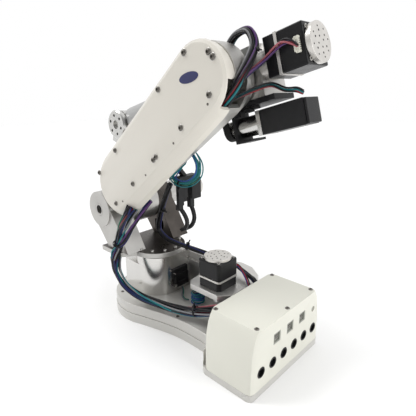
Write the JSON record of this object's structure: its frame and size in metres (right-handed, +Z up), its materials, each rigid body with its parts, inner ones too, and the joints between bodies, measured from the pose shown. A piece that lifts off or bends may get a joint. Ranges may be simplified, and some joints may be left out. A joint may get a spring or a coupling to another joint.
{
  "type": "desktop robot arm",
  "caption": "Six-axis desktop robot arm on a rounded base with a rear connector box, a sloping covered upper arm, a belt-driven forearm, a wrist and a parked two-finger gripper.",
  "frame": {"origin": "on the turning axis of the base, at the underside of the foot plate", "axes": "+Z up; +X from the turning axis towards the connector box; -Y is the side of the long white arm cover"},
  "size_m": [0.3779, 0.2386, 0.4182],
  "materials": {
    "white_base": "satin off-white coat",
    "white_box": "satin off-white coat",
    "white_cover": "smooth satin white",
    "cast_alloy": "bead blasted",
    "machined_alloy": "machined",
    "forearm_shell": "satin grey",
    "black_motor": "satin black",
    "silver_disc": "machined",
    "black_plastic": "matte black",
    "white_plastic": "matte white",
    "black_fingers": "matte black",
    "belt_rubber": "matte",
    "cable_black": "matte",
    "cable_teal": "satin"
  },
  "bodies": {
    "base": {"base_foot_plate": "white_base", "base_top_plate": "white_base", "base_column": "cast_alloy", "motor_deck": "cast_alloy", "base_motor_flange": "black_motor", "base_motor_band": "silver_disc", "base_motor_body": "black_motor", "base_motor_cap": "silver_disc", "base_motor_shaft": "machined_alloy", "limit_switch": "black_plastic", "connector_box_cover": "white_box", "connector_panel": "black_plastic", "base_cable_bundle": "cable_black", "base_cable_sleeve": "cable_black", "base_motor_leads": "cable_black", "switch_lead": "cable_teal", "switch_lead_coil": "cable_teal"},
    "turret": {"turntable": "cast_alloy", "shoulder_bracket_left": "cast_alloy", "shoulder_bracket_right": "cast_alloy", "shoulder_gearbox": "cast_alloy", "shoulder_motor_body": "black_motor", "shoulder_motor_cap": "silver_disc", "arm_cable_bundle": "cable_black", "arm_cable_sleeve": "cable_black"},
    "upper_arm": {"upper_arm_frame": "cast_alloy", "upper_arm_cover": "white_cover", "gripper_hanger": "black_plastic", "gripper_lead": "cable_teal"},
    "forearm": {"elbow_reducer": "cast_alloy", "elbow_turret": "cast_alloy", "elbow_lower_plate": "cast_alloy", "roll_motor_gearbox": "silver_disc", "roll_motor_flange": "black_motor", "roll_motor_band": "silver_disc", "roll_motor_body": "black_motor", "roll_motor_cap": "silver_disc", "roll_motor_plug": "white_plastic", "side_motor_bracket": "cast_alloy", "side_motor_gearbox": "machined_alloy", "side_motor_body": "black_motor", "side_motor_cap": "silver_disc", "roll_sensor": "black_plastic", "roll_belt": "belt_rubber", "elbow_cable_loop": "cable_black", "roll_motor_leads": "cable_black", "side_motor_leads": "cable_black"},
    "side_pulley": {"side_motor_pulley": "machined_alloy"},
    "roll_link": {"forearm_pulley": "machined_alloy", "forearm_tube": "machined_alloy", "forearm_collar": "cast_alloy", "forearm_cover": "forearm_shell", "wrist_tongue": "cast_alloy"},
    "wrist": {"wrist_fork": "cast_alloy"},
    "tool": {"tool_flange": "cast_alloy"},
    "finger_left": {"gripper_finger_left": "black_fingers"},
    "finger_right": {"gripper_finger_right": "black_fingers"}
  },
  "joints": [
    {"name": "base_yaw", "type": "hinge", "parent": "base", "child": "turret", "pos_m": [0, 0, 0], "axis": [0, 0, 1], "range_deg": [-165, 165]},
    {"name": "shoulder_pitch", "type": "hinge", "parent": "turret", "child": "upper_arm", "pos_m": [-0.064, 0, 0.17], "axis": [0, -1, 0], "range_deg": [0, 130]},
    {"name": "elbow_pitch", "type": "hinge", "parent": "upper_arm", "child": "forearm", "pos_m": [0.17225, 0, 0.36131], "axis": [0, 1, 0], "range_deg": [0, 150]},
    {"name": "forearm_roll", "type": "hinge", "parent": "forearm", "child": "roll_link", "pos_m": [0.17225, 0, 0.36131], "axis": [0.9659, 0, 0.2588], "range_deg": [-165, 165]},
    {"name": "side_pulley_spin", "type": "hinge", "parent": "forearm", "child": "side_pulley", "pos_m": [0.18602, 0, 0.30992], "axis": [0.9659, 0, 0.2588], "range_deg": [-235, 235]},
    {"name": "wrist_pitch", "type": "hinge", "parent": "roll_link", "child": "wrist", "pos_m": [-0.04276, 0, 0.3037], "axis": [0, -1, 0], "range_deg": [-140, 28]},
    {"name": "tool_roll", "type": "hinge", "parent": "wrist", "child": "tool", "pos_m": [-0.04276, 0, 0.3037], "axis": [-0.3256, 0, -0.9455], "range_deg": [-170, 170]},
    {"name": "finger_left_slide", "type": "slide", "parent": "upper_arm", "child": "finger_left", "axis": [0, -1, 0], "range_m": [0, 0.006]},
    {"name": "finger_right_slide", "type": "slide", "parent": "upper_arm", "child": "finger_right", "axis": [0, 1, 0], "range_m": [0, 0.006]}
  ],
  "couplings": [
    {"joint": "side_pulley_spin", "follows": "forearm_roll", "ratio": 1.4},
    {"joint": "finger_right_slide", "follows": "finger_left_slide", "ratio": 1}
  ]
}
